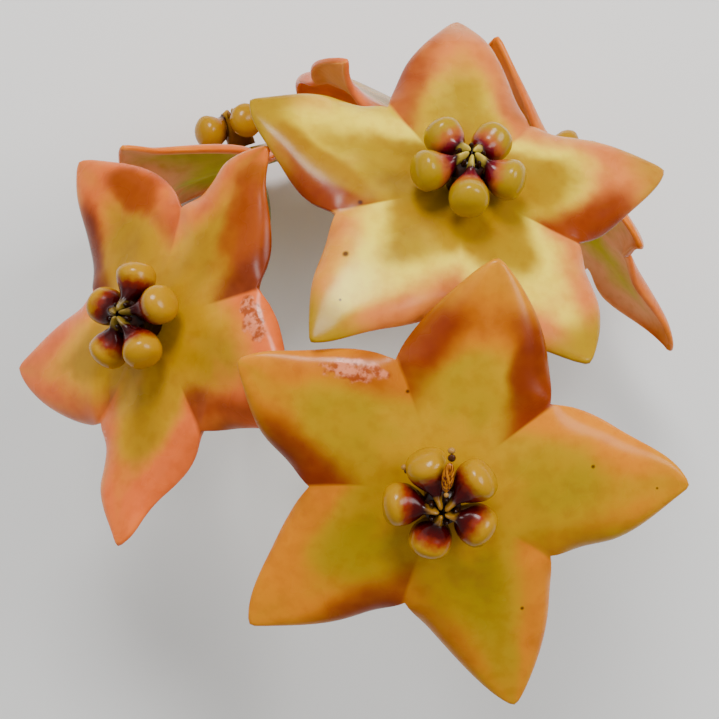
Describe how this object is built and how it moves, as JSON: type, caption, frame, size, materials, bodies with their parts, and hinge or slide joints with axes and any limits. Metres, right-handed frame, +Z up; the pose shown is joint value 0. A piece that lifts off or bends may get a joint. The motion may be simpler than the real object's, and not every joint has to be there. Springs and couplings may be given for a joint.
{
  "type": "hoya flower umbel",
  "caption": "Umbel of large waxy star-shaped flowers in yellow and orange on a short green stalk, laid down with the open faces up.",
  "frame": {"origin": "middle of the underside of the box round the umbel as it lies, on the surface", "axes": "+Z up from the surface, with the front flowers facing +Z; +X towards the side that is on the right when it is seen from above with the cut end of the stalk at the bottom"},
  "size_m": [0.0856, 0.0787, 0.079],
  "materials": {
    "waxy_petal": "glossy wax, yellow to orange",
    "glossy_corona": "very glossy",
    "green_stem": "satin"
  },
  "bodies": {
    "root": {"peduncle": "green_stem", "corolla_1": "waxy_petal", "corona_1": "glossy_corona", "calyx_1": "green_stem", "pedicel_1": "green_stem", "corolla_2": "waxy_petal", "corona_2": "glossy_corona", "calyx_2": "green_stem", "pedicel_2": "green_stem", "corolla_3": "waxy_petal", "corona_3": "glossy_corona", "calyx_3": "green_stem", "pedicel_3": "green_stem", "corolla_4": "waxy_petal", "corona_4": "glossy_corona", "calyx_4": "green_stem", "pedicel_4": "green_stem", "corolla_5": "waxy_petal", "corona_5": "glossy_corona", "calyx_5": "green_stem", "pedicel_5": "green_stem", "corolla_6": "waxy_petal", "corona_6": "glossy_corona", "calyx_6": "green_stem", "pedicel_6": "green_stem"}
  },
  "joints": []
}
